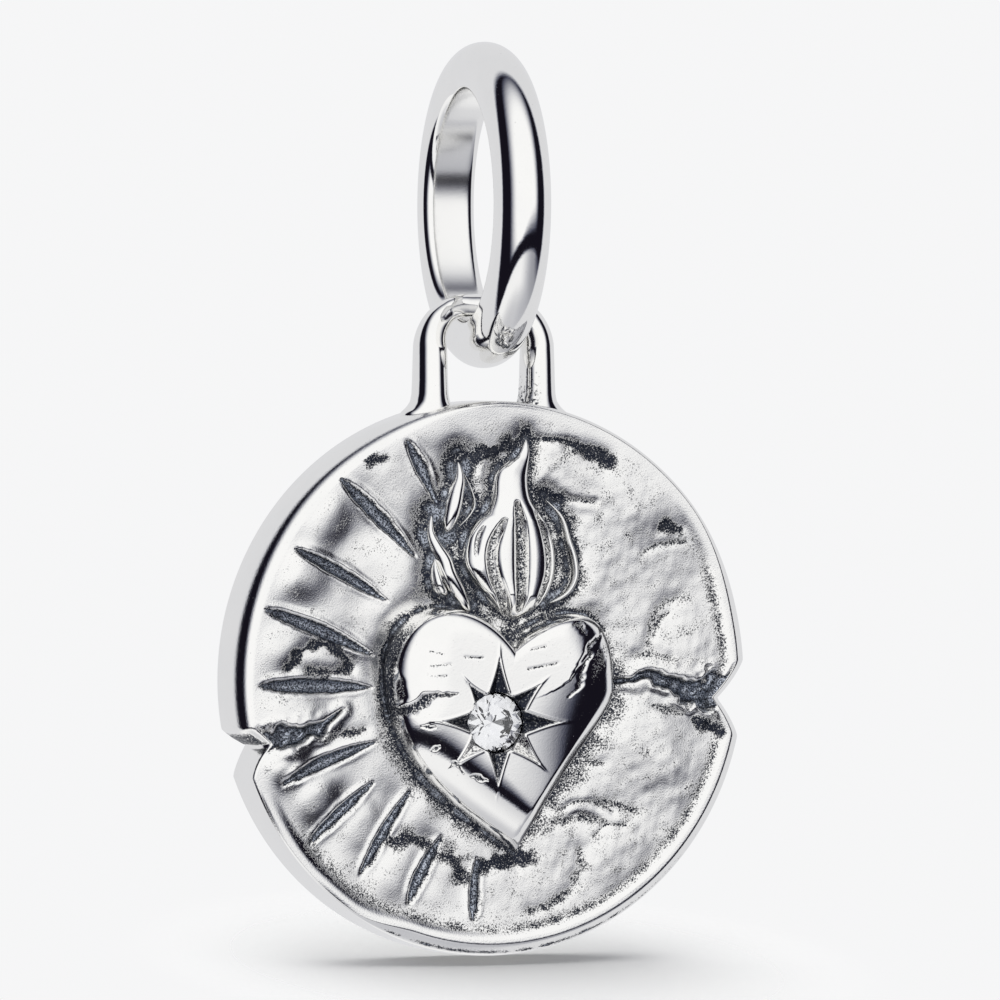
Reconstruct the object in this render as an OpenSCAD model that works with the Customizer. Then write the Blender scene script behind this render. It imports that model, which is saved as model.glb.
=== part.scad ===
// Heart medallion charm: a broken round medallion with a flaming heart, its loop and its bail ring.
// Origin at the centre of the bail ring, +Z up, medallion face towards -Y, millimetres.

/* [Bail ring] */
// Bore of the ring, where the chain or bracelet runs
ring_bore_d = 4.94; // [4:0.02:7]
// Width of the ring along its axis
ring_w = 1.18; // [0.9:0.02:1.5]
// Rounding of the two inner edges beside the flat band
ring_inner_round = 0.24; // [0.1:0.02:0.36]
// Straight height of the ring's sides under the round back
ring_side = 0.2; // [0.05:0.01:0.5]
// Turn of the hanging ring away from square to the medallion, degrees
ring_turn = -6; // [-10:0.5:10]

/* [Hanging loop] */
// Wire of the crown that the ring hangs on
loop_wire_d = 0.5; // [0.4:0.02:0.7]
// Bend of the two shoulders, on the wire's centre line
loop_shoulder_r = 0.85; // [0.6:0.01:1]
// Thickness of the legs where they meet the medallion
loop_foot_d = 0.78; // [0.6:0.02:0.94]
// Free play between the ring's side and each leg
ring_side_gap = 0.405; // [0.3:0.005:0.6]
// Running gap between the crown and the ring's bore
crown_gap = 0.06; // [0.04:0.01:0.15]
// Gap between the bottom of the ring and the top of the medallion
ring_to_disc = 0.7; // [0.5:0.02:1.2]

/* [Medallion disc] */
// Diameter of the medallion
disc_d = 11.9; // [10.4:0.05:14]
// Thickness of the medallion at its rim
disc_t = 1.3; // [1.15:0.02:1.8]
// Rolled edge towards the face
front_round = 0.42; // [0.2:0.02:0.5]
// Rolled edge towards the back
back_round = 0.2; // [0.1:0.02:0.3]
// Flat top of the rim inside the rolled edge
rim_w = 0.14; // [0.1:0.02:0.2]
// Drop from the rim to the field
field_drop = 0.06; // [0.03:0.01:0.12]

/* [Rays and cracks] */
// Depth of the engraved rays
ray_depth = 0.24; // [0.12:0.02:0.34]
// Width of the rays at their middle
ray_w = 0.34; // [0.2:0.02:0.44]
// Depth of the two cracks behind the notches in the rim
crack_depth = 0.42; // [0.2:0.02:0.6]

/* [Heart] */
// Width of the heart
heart_w = 5.24; // [4.6:0.02:5.6]
// Height of the heart from lobes to point
heart_h = 5.25; // [4.6:0.05:5.6]
// Rise of the domed heart above the field
heart_rise = 0.95; // [0.9:0.01:1.2]
// Reach of the star's four long points
star_long = 1.5; // [1.3:0.02:1.7]
// Reach of the star's four short points
star_short = 1.34; // [1.1:0.02:1.5]
// Depth of the star below the heart's crest
star_depth = 0.42; // [0.3:0.02:0.5]

/* [Stone] */
// Diameter of the round stone
stone_d = 1.24; // [1:0.02:1.3]
// Depth of the girdle below the heart's crest
stone_sink = 0.2; // [0.15:0.01:0.25]

/* [Flames] */
// Rise of the middle flame above the field
flame_rise = 0.46; // [0.25:0.01:0.7]
// Rise of the loose side flames
lick_rise = 0.3; // [0.15:0.01:0.5]

/* [Hidden] */
$fn = 96;
over = 0.5;
bore_r = ring_bore_d / 2;
ring_out_r = bore_r + ring_inner_round + ring_side + ring_w / 2;
crown_z = -bore_r + crown_gap + loop_wire_d / 2;
loop_half = ring_w / 2 + ring_side_gap + loop_wire_d / 2;
disc_r = disc_d / 2;
disc_z = -ring_out_r - ring_to_disc - disc_r;
field_z = disc_t / 2 - field_drop;
field_r = disc_r - front_round - rim_w;
crown_y = crown_z - disc_z;
spring_y = crown_y - loop_shoulder_r;
star_at = [-0.057 * heart_w, -0.174 * heart_h];
crest_z = field_z + heart_rise;
girdle_z = crest_z - stone_sink;
girdle_t = 0.03 * stone_d;
pavilion_t = 0.42 * stone_d;

// Each ray: angle from the right, inner end and outer end as shares of the disc's radius
rays = [
    [110, 0.66, 0.93],
    [127, 0.51, 0.94],
    [147, 0.49, 0.91],
    [166, 0.46, 0.93],
    [182, 0.46, 0.91],
    [205, 0.49, 0.91],
    [219, 0.58, 0.92],
    [233, 0.49, 0.88],
    [249, 0.59, 0.88],
    [265, 0.64, 0.88]
];

// Cracks and notches as shares of the disc's radius
left_crack = [
    [-1.06, -0.14], [-0.89, -0.148], [-0.72, -0.143], [-0.6, -0.11],
    [-0.65, -0.15], [-0.76, -0.22], [-0.9, -0.272], [-1.06, -0.3]
];
right_crack = [
    [1.06, 0.05], [0.91, 0.037], [0.81, -0.017], [0.67, 0.008], [0.6, 0.037], [0.555, 0.008],
    [0.45, -0.013], [0.5, -0.034], [0.6, -0.01], [0.71, -0.05], [0.81, -0.098], [0.87, -0.12], [1.06, -0.14]
];
left_notch = [[-1.06, -0.118], [-0.916, -0.232], [-0.94, -0.285], [-1.06, -0.385]];
right_notch = [[1.06, 0.045], [0.908, -0.075], [0.911, -0.1], [1.06, -0.21]];

// Heart outline as shares of its width and height: cleft, four curves, point
cleft = [0.029, 0.137];
point = [0.088, -0.712];
right_lobe = [cleft, [0.109, 0.206], [0.511, 0.467], [0.511, -0.038]];
right_flank = [[0.511, -0.038], [0.511, -0.168], [0.132, -0.51], point];
left_flank = [point, [-0.181, -0.528], [-0.489, -0.36], [-0.489, 0.03]];
left_lobe = [[-0.489, 0.03], [-0.489, 0.31], [-0.17, 0.406], cleft];

// Flames as curves from root to tip and their widths, all in shares of the heart's width and height
flame_curves = [
    [[0.086, 0.253], [-0.205, 0.415], [0.035, 0.63], [0.147, 0.985], 0.126],
    [[0.096, 0.258], [0.06, 0.43], [0.055, 0.66], [0.15, 0.94], 0.088],
    [[0.152, 0.262], [0.262, 0.43], [0.18, 0.62], [0.125, 0.88], 0.08],
    [[0.2, 0.275], [0.35, 0.42], [0.2, 0.59], [0.155, 0.86], 0.046]
];
lick_curves = [
    [[-0.182, 0.6], [-0.215, 0.7], [-0.115, 0.77], [-0.138, 0.885], 0.08],
    [[-0.1, 0.275], [-0.2, 0.44], [-0.175, 0.5], [-0.265, 0.675], 0.061],
    [[-0.208, 0.36], [-0.265, 0.39], [-0.25, 0.43], [-0.235, 0.47], 0.044],
    [[0.27, 0.3], [0.44, 0.4], [0.36, 0.56], [0.25, 0.73], 0.034]
];

function on_curve(p, t) =
    pow(1 - t, 3) * p[0] + 3 * pow(1 - t, 2) * t * p[1] + 3 * (1 - t) * t * t * p[2] + pow(t, 3) * p[3];

function along_curve(p, t) =
    pow(1 - t, 2) * (p[1] - p[0]) + 2 * (1 - t) * t * (p[2] - p[1]) + t * t * (p[3] - p[2]);

function sized(p) = [p[0] * heart_w, p[1] * heart_h];

function unit(v) = v / norm(v);

function flipped(f) = [for (i = [len(f) - 1:-1:0]) f[i]];

// Height of the heart's dome, as a share of its rise, at a share of the way out to its edge:
// level round the star, then falling away to its flanks and turning down sharply at the edge itself
function dome(s) = (1 - 0.4 * pow(max(0, (s - 0.55) / 0.45), 2)) * sqrt(1 - pow(s, 40));

// Lays the medallion's own frame, x right, y up and z towards the viewer, into the hanging frame
module hung() {
    translate([0, 0, disc_z])
        rotate([90, 0, 0])
            children();
}

module bail_ring() {
    color("silver")
        rotate([0, 0, ring_turn])
            rotate([0, 90, 0])
                rotate_extrude()
                    ring_section();
}

module ring_section() {
    corner_x = bore_r + ring_inner_round;
    corner_y = ring_w / 2 - ring_inner_round;
    translate([corner_x, -ring_w / 2])
        square([ring_side, ring_w]);
    translate([bore_r, -corner_y])
        square([ring_inner_round, 2 * corner_y]);
    translate([corner_x, corner_y])
        circle(ring_inner_round);
    translate([corner_x, -corner_y])
        circle(ring_inner_round);
    intersection() {
        translate([corner_x + ring_side, 0])
            circle(ring_w / 2);
        translate([corner_x + ring_side, -ring_w])
            square([ring_w, 2 * ring_w]);
    }
}

module hanging_loop() {
    straight = loop_half - loop_shoulder_r;
    leg = spring_y - (disc_r - 2 * front_round);
    color("silver")
        hung()
            difference() {
                union() {
                    translate([-straight, crown_y, 0])
                        rotate([0, 90, 0])
                            cylinder(h = 2 * straight, d = loop_wire_d);
                    for (side = [0, 1])
                        mirror([side, 0, 0])
                            translate([straight, spring_y, 0]) {
                                rotate_extrude(angle = 90)
                                    translate([loop_shoulder_r, 0])
                                        circle(d = loop_wire_d);
                                translate([loop_shoulder_r, 0, 0])
                                    rotate([90, 0, 0])
                                        cylinder(h = leg, d1 = loop_wire_d, d2 = loop_foot_d);
                            }
                }
                disc_blank();
            }
}

module disc_blank() {
    rotate_extrude()
        disc_section();
}

module disc_section() {
    half = disc_t / 2;
    translate([0, -half + back_round])
        square([disc_r, disc_t - back_round - front_round]);
    translate([0, -half])
        square([disc_r - back_round, back_round]);
    translate([0, half - front_round])
        square([disc_r - front_round, front_round]);
    translate([disc_r - back_round, -half + back_round])
        circle(back_round);
    translate([disc_r - front_round, half - front_round])
        circle(front_round);
}

module medallion_disc() {
    color("gainsboro")
        hung()
            difference() {
                disc_blank();
                translate([0, 0, field_z])
                    cylinder(h = over, r = field_r);
                for (ray = rays)
                    ray_cut(ray);
                for (crack = [left_crack, right_crack])
                    translate([0, 0, field_z - crack_depth])
                        linear_extrude(crack_depth + over)
                            polygon(crack * disc_r);
                for (notch = [left_notch, right_notch])
                    translate([0, 0, -disc_t])
                        linear_extrude(2 * disc_t)
                            polygon(notch * disc_r);
            }
}

// One engraved ray, cut as by a wheel with a sharp edge, so that it runs out to a point at both ends
module ray_cut(ray) {
    half_len = (ray[2] - ray[1]) * disc_r / 2;
    wheel_r = (half_len * half_len + ray_depth * ray_depth) / (2 * ray_depth);
    wheel_h = wheel_r * ray_w / 2 / ray_depth;
    rotate([0, 0, ray[0]])
        translate([ray[1] * disc_r + half_len, 0, field_z + wheel_r - ray_depth])
            rotate([90, 0, 0])
                rotate_extrude()
                    polygon([[0, -wheel_h], [wheel_r, 0], [0, wheel_h]]);
}

module heart() {
    color("silver")
        hung()
            difference() {
                heart_dome();
                translate([star_at[0], star_at[1], crest_z])
                    star_cut();
                translate([star_at[0], star_at[1], girdle_z - girdle_t])
                    cylinder(h = over, d = stone_d);
                translate([star_at[0], star_at[1], girdle_z - girdle_t - pavilion_t])
                    cylinder(h = pavilion_t, r1 = 0, d2 = stone_d);
            }
}

module heart_dome() {
    steps = 12;
    levels = [1, 0.99, 0.975, 0.955, 0.92, 0.86, 0.78, 0.68, 0.55];
    outline = [
        for (c = [right_lobe, right_flank, left_flank, left_lobe])
            for (i = [0:steps - 1])
                sized(on_curve(c, i / steps))
    ];
    n = len(outline);
    rows = len(levels);
    rings = [
        for (s = levels)
            for (p = outline)
                [each star_at + s * (p - star_at), field_z + heart_rise * dome(s)]
    ];
    walls = [
        for (k = [0:rows - 2])
            for (i = [0:n - 1])
                let (a = k * n + i, b = k * n + (i + 1) % n)
                    each [[a, b, a + n], [b, b + n, a + n]]
    ];
    top = [for (i = [0:n - 1]) [(rows - 1) * n + i, (rows - 1) * n + (i + 1) % n, rows * n]];
    base = [[for (i = [n - 1:-1:0]) i]];
    polyhedron(concat(rings, [[star_at[0], star_at[1], crest_z]]), concat(walls, top, base));
}

// Eight-pointed star sinking to one point under the stone, carried on above the dome
module star_cut() {
    reach = 1.5;
    low = [0, 0, -star_depth];
    rim = [
        for (i = [0:15])
            let (
                r = i % 2 == 1 ? stone_d * 0.62 : i % 4 == 0 ? star_long : star_short,
                drop = heart_rise * (1 - dome(r / (heart_w / 2)))
            )
                low + reach * ([r * cos(22.5 * i), r * sin(22.5 * i), -drop] - low)
    ];
    sides = [for (i = [0:15]) [i, (i + 1) % 16, 16]];
    lid = [for (i = [0:15]) [(i + 1) % 16, i, 17]];
    polyhedron(concat(rim, [low, [0, 0, heart_rise]]), concat(sides, lid));
}

// One flame: a ridge that swells from its root and thins out to its tip
module flame(c, rise) {
    steps = 12;
    curve = [for (i = [0:3]) sized(c[i])];
    ribs = [
        for (k = [1:steps - 1])
            let (
                t = k / steps,
                p = on_curve(curve, t),
                d = unit(along_curve(curve, t)),
                out = [d[1], -d[0]] * c[4] * heart_w / 2,
                swell = pow(sin(180 * pow(t, 0.7)), 0.8)
            )
                for (s = [[-1, 0], [-0.66, 0.62], [0, 1], [0.66, 0.62], [1, 0]])
                    [each p + out * s[0] * swell, field_z + rise * s[1] * swell]
    ];
    m = len(ribs);
    ends = [[each curve[0], field_z], [each curve[3], field_z]];
    skin = [
        for (k = [0:steps - 3])
            for (j = [0:4])
                let (a = 5 * k + j, b = 5 * k + (j + 1) % 5)
                    each [[a, a + 5, b + 5], [a, b + 5, b]]
    ];
    root = [for (j = [0:4]) [m, j, (j + 1) % 5]];
    tip = [for (j = [0:4]) [m - 5 + j, m + 1, m - 5 + (j + 1) % 5]];
    polyhedron(concat(ribs, ends), concat(skin, root, tip));
}

module centre_flame() {
    color("silver")
        hung()
            for (c = flame_curves)
                flame(c, flame_rise);
}

module side_flames() {
    color("silver")
        hung()
            for (c = lick_curves)
                flame(c, lick_rise);
}

// Round brilliant: table, star and kite facets, girdle, pavilion
module stone() {
    r = stone_d / 2;
    crown_t = 0.15 * stone_d;
    function ring(n, turn, size, z) =
        [for (i = [0:n - 1]) [size * cos(turn + 360 * i / n), size * sin(turn + 360 * i / n), z]];
    points = concat(
        ring(8, 0, 0.56 * r, crown_t),
        ring(8, 22.5, 0.78 * r, 0.56 * crown_t),
        ring(16, 0, r, 0),
        ring(16, 0, r, -girdle_t),
        ring(8, 22.5, 0.26 * r, -girdle_t - 0.76 * pavilion_t),
        [[0, 0, -girdle_t - pavilion_t]]
    );
    facets = concat(
        [[0, 1, 2, 3, 4, 5, 6, 7]],
        [for (k = [0:7]) [k, 8 + k, (k + 1) % 8]],
        [for (k = [0:7]) [k, 8 + (k + 7) % 8, 16 + 2 * k]],
        [for (k = [0:7]) [k, 16 + 2 * k, 8 + k]],
        [for (k = [0:7]) [8 + k, 16 + 2 * k, 17 + 2 * k]],
        [for (k = [0:7]) [8 + k, 17 + 2 * k, 16 + (2 * k + 2) % 16]],
        [for (j = [0:15]) [16 + j, 32 + j, 32 + (j + 1) % 16, 16 + (j + 1) % 16]],
        [for (k = [0:7]) [32 + 2 * k, 48 + k, 33 + 2 * k]],
        [for (k = [0:7]) [33 + 2 * k, 48 + k, 32 + (2 * k + 2) % 16]],
        [for (k = [0:7]) [32 + 2 * k, 48 + (k + 7) % 8, 56]],
        [for (k = [0:7]) [32 + 2 * k, 56, 48 + k]]
    );
    color("white")
        hung()
            translate([star_at[0], star_at[1], girdle_z])
                polyhedron(points, [for (f = facets) flipped(f)]);
}

bail_ring();
hanging_loop();
medallion_disc();
heart();
centre_flame();
side_flames();
stone();
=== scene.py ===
import math

import bpy
import numpy as np
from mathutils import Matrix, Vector


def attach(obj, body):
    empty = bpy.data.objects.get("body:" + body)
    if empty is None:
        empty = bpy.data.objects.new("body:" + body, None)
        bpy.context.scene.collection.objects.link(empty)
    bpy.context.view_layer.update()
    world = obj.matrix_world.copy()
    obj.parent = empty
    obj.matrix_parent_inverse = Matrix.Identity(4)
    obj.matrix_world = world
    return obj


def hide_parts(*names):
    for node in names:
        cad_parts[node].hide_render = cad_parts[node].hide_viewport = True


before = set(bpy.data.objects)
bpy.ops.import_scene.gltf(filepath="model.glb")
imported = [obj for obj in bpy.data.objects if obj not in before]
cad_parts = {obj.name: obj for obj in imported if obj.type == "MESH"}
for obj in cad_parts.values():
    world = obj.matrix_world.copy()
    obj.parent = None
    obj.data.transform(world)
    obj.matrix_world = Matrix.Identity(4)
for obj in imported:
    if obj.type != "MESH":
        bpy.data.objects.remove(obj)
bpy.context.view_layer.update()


# Bail ring. A closed ring of sterling silver in D-shaped wire, flat inside and round outside, soldered shut
# and polished all over. It hangs loose in the wire loop below it, and a chain runs through it.
MM = 0.001
UM = 0.000001
ring_bore_r = 2.47
ring_half_w = 0.59
ring_inner_round = 0.24
ring_crown_r = 2.91
ring_turn = math.radians(6)
ring_axis = Vector((math.cos(ring_turn), -math.sin(ring_turn), 0))
# silver's finish: size of the polishing clouds and marks, where the film starts, is whole and lies thick,
# and how rough burnished metal, the film and the added satin are
HAZE_MM = 1.1
MARK_MM = 0.12
MARK_UM = 0.4
FILM_FROM, FILM_WHOLE = 0.37, 0.7
THICK_FROM, THICK_WHOLE = 0.8, 0.94
BURNISHED_ROUGH = 0.05
FILM_ROUGH = 0.42
SATIN_ROUGH = 0.14


def srgb(code):
    """Turns an sRGB hex colour into the linear colour that a shader takes."""
    parts = [int(code[i:i + 2], 16) / 255 for i in (1, 3, 5)]
    return [p / 12.92 if p <= 0.04045 else ((p + 0.055) / 1.055) ** 2.4 for p in parts] + [1]


def put(tree, kind, inputs={}, **settings):
    """Adds a node to a tree with its settings, and sets or links its inputs."""
    node = tree.nodes.new(kind)
    for name, value in settings.items():
        setattr(node, name, value)
    for socket, value in inputs.items():
        if isinstance(value, bpy.types.NodeSocket):
            tree.links.new(value, node.inputs[socket])
        else:
            node.inputs[socket].default_value = value
    return node


def silver(name, polish, wear, grain_mm, grit_um, skin=0.15):
    """Sterling silver, polished where it stands proud and oxidised blue-black where the patina is high;
    painted shade laid into the same attribute darkens the same way.
    The film breaks up into grains at its edge, because the polishing wheel reaches some pits and not others.
    Its grit is as high as grit_um, and clean metal keeps the share called skin of it."""
    material = bpy.data.materials.new(name)
    material.use_nodes = True
    tree = material.node_tree
    shader = tree.nodes["Principled BSDF"]
    place = put(tree, "ShaderNodeTexCoord").outputs["Object"]
    # this attribute holds real patina in the hollows and, on the loop's right leg, painted shade
    patina_and_shade = put(tree, "ShaderNodeAttribute", attribute_name="patina_and_shade").outputs["Fac"]
    grain = put(tree, "ShaderNodeTexNoise", {
        "Vector": place, "Scale": 1 / (grain_mm * MM), "Detail": 3, "Roughness": 0.6,
    }).outputs["Fac"]
    # polishing haze: soft clouds of finer and coarser polish, about 1 mm across
    haze = put(tree, "ShaderNodeTexNoise", {
        "Vector": place, "Scale": 1 / (HAZE_MM * MM), "Detail": 4, "Roughness": 0.65,
    }).outputs["Fac"]
    spread = put(tree, "ShaderNodeMath", {0: grain, 1: 1.9, 2: -0.95}, operation="MULTIPLY_ADD").outputs[0]
    level = put(tree, "ShaderNodeMath", {0: patina_and_shade, 1: spread}, operation="ADD").outputs[0]
    dark = put(tree, "ShaderNodeMapRange", {
        "Value": level, "From Min": FILM_FROM, "From Max": FILM_WHOLE,
    }, interpolation_type="SMOOTHSTEP").outputs[0]
    # the film is black where it ends and a grainy slate where it lies thick in a cut
    thick = put(tree, "ShaderNodeMapRange", {
        "Value": patina_and_shade, "From Min": THICK_FROM, "From Max": THICK_WHOLE,
    }, interpolation_type="SMOOTHSTEP").outputs[0]
    grainy = put(tree, "ShaderNodeMapRange", {
        "Value": grain, "From Min": 0.43, "From Max": 0.58,
    }, interpolation_type="SMOOTHSTEP").outputs[0]
    film = put(tree, "ShaderNodeMath", {0: thick, 1: grainy}, operation="MULTIPLY").outputs[0]
    oxide = put(tree, "ShaderNodeMix", {
        "Factor": film, "A": srgb("#323642"), "B": srgb("#d3dae6"),
    }, data_type="RGBA").outputs["Result"]
    clean = put(tree, "ShaderNodeMix", {
        "Factor": haze, "A": srgb("#f3f3f2"), "B": srgb("#fcfbf9"),
    }, data_type="RGBA").outputs["Result"]
    colour = put(tree, "ShaderNodeMix", {
        "Factor": dark, "A": clean, "B": oxide,
    }, data_type="RGBA").outputs["Result"]
    shine = put(tree, "ShaderNodeMapRange", {
        "Value": haze, "To Min": polish, "To Max": polish + wear,
    }).outputs[0]
    burnish = put(tree, "ShaderNodeAttribute", attribute_name="burnish").outputs["Fac"]
    rubbed = put(tree, "ShaderNodeMix", {
        "Factor": burnish, "A": shine, "B": BURNISHED_ROUGH,
    }).outputs["Result"]
    satin = put(tree, "ShaderNodeAttribute", attribute_name="satin").outputs["Fac"]
    rubbed = put(tree, "ShaderNodeMath", {
        0: satin, 1: SATIN_ROUGH, 2: rubbed,
    }, operation="MULTIPLY_ADD").outputs[0]
    rough = put(tree, "ShaderNodeMix", {"Factor": dark, "A": rubbed, "B": FILM_ROUGH}).outputs["Result"]
    # the wheel's marks are too fine to show in the render, so they are drawn as coarse as MARK_MM
    marks = put(tree, "ShaderNodeTexNoise", {
        "Vector": place, "Scale": 1 / (MARK_MM * MM), "Detail": 2,
    }).outputs["Fac"]
    pits = put(tree, "ShaderNodeMath", {0: dark, 1: 1 - skin, 2: skin}, operation="MULTIPLY_ADD").outputs[0]
    relief = put(tree, "ShaderNodeMath", {0: grain, 1: pits}, operation="MULTIPLY").outputs[0]
    wheeled = put(tree, "ShaderNodeBump", {
        "Strength": 1, "Distance": MARK_UM * UM, "Height": marks,
    }).outputs["Normal"]
    normal = put(tree, "ShaderNodeBump", {
        "Strength": 1, "Distance": grit_um * UM, "Height": relief, "Normal": wheeled,
    }).outputs["Normal"]
    shader.inputs["Metallic"].default_value = 1
    tree.links.new(colour, shader.inputs["Base Color"])
    tree.links.new(rough, shader.inputs["Roughness"])
    tree.links.new(normal, shader.inputs["Normal"])
    return material


# polished sterling silver: a bright, faintly warm mirror
polished_silver = silver("polished_sterling_silver", 0.035, 0.03, 0.06, 2)

bpy.ops.object.select_all(action="DESELECT")
half_turn = np.linspace(0, np.pi, 41)
corner = np.linspace(0, np.pi / 2, 11)
flat = ring_half_w - ring_inner_round
corner_r = ring_bore_r + ring_inner_round
round_cos, round_sin = ring_inner_round * np.cos(corner), ring_inner_round * np.sin(corner)
section = np.vstack([
    np.stack([ring_half_w * np.cos(half_turn), ring_crown_r + ring_half_w * np.sin(half_turn)], axis=1),
    np.stack([-flat - round_cos, corner_r - round_sin], axis=1),
    np.stack([np.linspace(-flat, flat, 12)[1:-1], np.full(10, ring_bore_r)], axis=1),
    np.stack([flat + round_sin, corner_r - round_cos], axis=1),
])
bpy.ops.mesh.primitive_circle_add(vertices=len(section), radius=1)
ring = bpy.context.object
ring.name = ring.data.name = "polished_bail_ring"
for vert, (u, r) in zip(ring.data.vertices, section):
    vert.co = ring_axis * u * MM + Vector((0, 0, r * MM))
bpy.ops.object.mode_set(mode="EDIT")
bpy.ops.mesh.select_all(action="SELECT")
bpy.ops.mesh.spin(steps=256, angle=2 * math.pi, center=(0, 0, 0), axis=ring_axis)
bpy.ops.mesh.select_all(action="SELECT")
bpy.ops.mesh.remove_doubles(threshold=1e-8)
bpy.ops.mesh.normals_make_consistent(inside=False)
bpy.ops.object.mode_set(mode="OBJECT")
bpy.ops.object.shade_smooth()
# the band inside is left satin, as the mandrel leaves it
satin = ring.data.attributes.new("satin", "FLOAT", "POINT")
for vert, amount in zip(ring.data.vertices, satin.data):
    from_axis = vert.co - ring_axis * vert.co.dot(ring_axis)
    amount.value = 1.0 if from_axis.length < (ring_bore_r + 0.01) * MM else 0.0
ring.data.materials.append(polished_silver)
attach(ring, "bail")
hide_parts("bail_ring")


# Hanging loop. One bent silver wire, drawn down thinner at its crown so that the ring runs free on it,
# soldered by its two thick feet to the medallion's top edge and polished.
DISC_Z = -10.15
crown_y = 7.99
foot_y = 5.35
leg_x = 1.245
shoulder_r = 0.85


def ease(low, high, value):
    """Smooth step from 0 to 1 between two values."""
    t = np.clip((value - low) / (high - low), 0, 1)
    return t * t * (3 - 2 * t)


def sheet(name, around, along):
    """Adds a flat grid as a new piece, and gives it with the turn and the row of each of its points.
    Its last column has the turn of its first, so that the seam closes."""
    bpy.ops.object.select_all(action="DESELECT")
    bpy.ops.mesh.primitive_grid_add(x_subdivisions=around, y_subdivisions=along, size=2)
    piece = bpy.context.object
    piece.name = piece.data.name = name
    spots = np.empty(len(piece.data.vertices) * 3)
    piece.data.vertices.foreach_get("co", spots)
    round_share, along_share = (spots[0::3] + 1) / 2, (spots[1::3] + 1) / 2
    turn = 2 * np.pi * np.where(round_share > 1 - 1e-6, 0, round_share)
    return piece, turn, np.rint(along_share * along).astype(int)


def form(piece, x, y, z, patina_and_shade=None, burnish=None):
    """Presses a sheet to its shape in the medallion's own frame, x right, y up and z out of its face,
    closes its seam and poles, and keeps how dark and how burnished each point is."""
    for finish, amount in (("patina_and_shade", patina_and_shade), ("burnish", burnish)):
        if amount is not None:
            kept = piece.data.attributes.new(finish, "FLOAT", "POINT")
            kept.data.foreach_set("value", np.clip(amount, 0, 1).astype(np.float32))
    places = np.stack([x, -z, DISC_Z + y], axis=1) * MM
    piece.data.vertices.foreach_set("co", places.ravel())
    bpy.ops.object.mode_set(mode="EDIT")
    bpy.ops.mesh.select_all(action="SELECT")
    bpy.ops.mesh.remove_doubles(threshold=2e-8)
    bpy.ops.mesh.normals_make_consistent(inside=False)
    bpy.ops.object.mode_set(mode="OBJECT")
    bpy.ops.object.shade_smooth()


def sweep(points, count):
    """A smooth line of so many points through a few given ones, evenly spaced along it."""
    p = np.asarray(points, float)
    p = np.vstack([2 * p[0] - p[1], p, 2 * p[-1] - p[-2]])
    t = np.linspace(0, 1, 24, endpoint=False)[:, None]
    runs = [
        0.5 * (
            2 * b + (c - a) * t + (2 * a - 5 * b + 4 * c - d) * t ** 2 + (3 * b - a - 3 * c + d) * t ** 3
        )
        for a, b, c, d in zip(p, p[1:], p[2:], p[3:])
    ]
    line = np.vstack(runs + [p[-2]])
    done = np.concatenate([[0], np.cumsum(np.hypot(*np.diff(line, axis=0).T))])
    at = np.linspace(0, done[-1], count)
    return np.stack([np.interp(at, done, line[:, k]) for k in (0, 1)], axis=1)


def wire(name, line, half_w, half_t, square, around):
    """Draws a wire along a line in the medallion's plane and gives it with the places of its points.
    Each point of the line has a half width, a half thickness and a section, round at 1 and squarer below."""
    piece, turn, k = sheet(name, around, len(line) - 1)
    run = np.gradient(line, axis=0)
    run /= np.hypot(run[:, 0], run[:, 1])[:, None]
    out, up = np.cos(turn), np.sin(turn)
    out = np.sign(out) * np.abs(out) ** square[k] * half_w[k]
    up = np.sign(up) * np.abs(up) ** square[k] * half_t[k]
    return piece, line[k, 0] + run[k, 1] * out, line[k, 1] - run[k, 0] * out, up


arc = np.linspace(0, np.pi / 2, 33)
right_half = np.vstack([
    np.stack([np.linspace(0, leg_x - shoulder_r, 9)[:-1], np.full(8, crown_y)], axis=1),
    np.stack([leg_x - shoulder_r * (1 - np.sin(arc)), crown_y - shoulder_r * (1 - np.cos(arc))], axis=1),
    np.stack([np.full(40, leg_x), np.linspace(crown_y - shoulder_r, foot_y, 41)[1:]], axis=1),
])
loop_line = np.vstack([right_half[::-1] * (-1, 1), right_half[1:]])
# the wire thickens down its legs and flares at its feet, where the solder runs out
fall = crown_y - loop_line[:, 1]
wire_w = np.interp(
    fall,
    [0, 0.12, 0.3, 0.85, 1.6, 1.9, 2.05, 2.17, 2.3],
    [0.25, 0.25, 0.29, 0.345, 0.36, 0.375, 0.41, 0.5, 0.66],
)
wire_t = np.interp(fall, [0, 0.12, 0.3, 0.85, 1.6, 2.2], [0.25, 0.25, 0.31, 0.42, 0.45, 0.47])
squared = np.interp(fall, [0, 0.15, 0.7, 1.2], [1, 1, 0.95, 0.9])
wire_w[[0, -1]] = wire_t[[0, -1]] = 0
loop, x, y, z = wire("bent_wire_loop", loop_line, wire_w, wire_t, squared, 64)
# painted shade: a little dark film is laid on the inner wall of the right leg, standing in for the shade on
# that side of the wire
shaded_inner_wall = ease(leg_x, leg_x - 0.2, x) * (x > 0.6) * ease(6.9, 5.9, y)
form(loop, x, y, z, 0.5 * shaded_inner_wall)
loop.data.materials.append(polished_silver)
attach(loop, "medallion")
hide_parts("hanging_loop")


# Medallion. A cast disc of sterling silver with a hammered face and a rolled edge, torn in from both sides,
# with ten rays cut into its left half. The loop, the heart and the flames are soldered to it. It was
# blackened, then wiped bright where it stands proud.
R = 5.95
HALF = 0.65
FIELD = 0.59
ROLL_IN, ROLL_DROP = 0.36, 0.78
CRISP_DROP = 0.325
BACK_ROUND = 0.2
SIDE_ROWS = 5
FACE_R = 5.53
EDGE_FROM = 5.0
WAVES = 36
BLACKEST = 0.95
rng = np.random.default_rng(11)


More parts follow.
